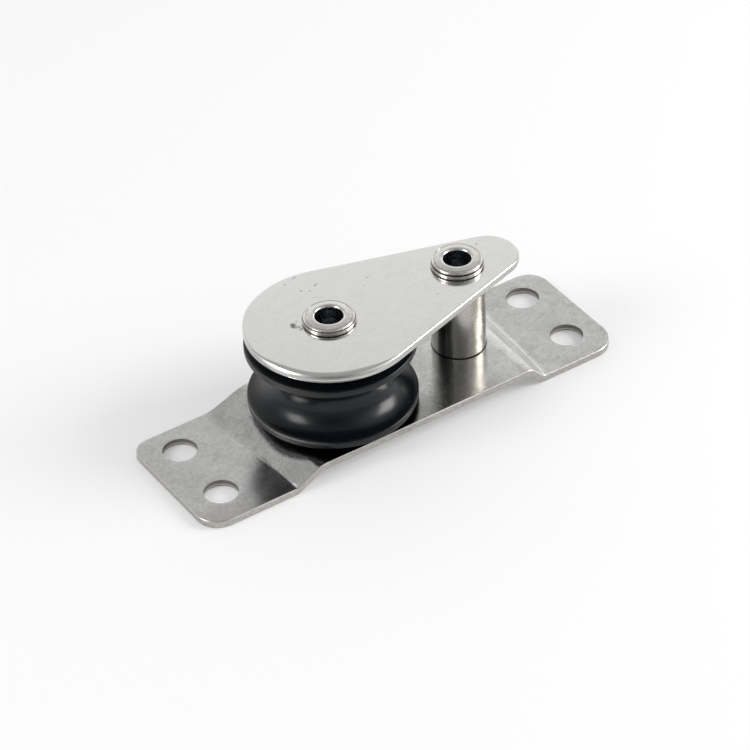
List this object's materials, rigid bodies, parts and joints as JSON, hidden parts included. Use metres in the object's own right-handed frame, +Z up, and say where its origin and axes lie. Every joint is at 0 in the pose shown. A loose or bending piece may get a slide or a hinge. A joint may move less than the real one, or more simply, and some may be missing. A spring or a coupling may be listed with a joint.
{
  "type": "cheek block",
  "caption": "Small flat-mounting cheek block: a plastic rope sheave on a hollow riveted axle between a folded stainless base and a teardrop cheek plate.",
  "frame": {"origin": "on the floor under the flanges, midway along the base plate, on the centre line of the sheave and both rivets", "axes": "+X along the base from the sheave towards the spacer tube, +Y across the base, +Z up from the mounting face towards the cheek plate"},
  "size_m": [0.092, 0.0325, 0.0247],
  "materials": {
    "satin_stainless": "satin rolled stainless sheet with fine scratches",
    "polished_stainless": "polished stainless steel",
    "black_plastic": "moulded black plastic, satin, worn paler at the rims",
    "pale_plastic": "plain off-white bearing plastic"
  },
  "bodies": {
    "frame": {"base_plate": "satin_stainless", "cheek_plate": "polished_stainless", "axle_sleeve": "polished_stainless", "spacer_tube": "polished_stainless", "lower_thrust_washer": "pale_plastic", "upper_thrust_washer": "pale_plastic", "axle_rivet": "polished_stainless", "axle_head_washer": "polished_stainless", "axle_foot_washer": "polished_stainless", "tail_rivet": "polished_stainless", "tail_head_washer": "polished_stainless", "tail_foot_washer": "polished_stainless"},
    "sheave_wheel": {"sheave": "black_plastic"}
  },
  "joints": [
    {"name": "sheave_spin", "type": "hinge", "parent": "frame", "child": "sheave_wheel", "pos_m": [-0.0098, 0, 0.01224], "axis": [0, 0, 1], "continuous": true}
  ]
}
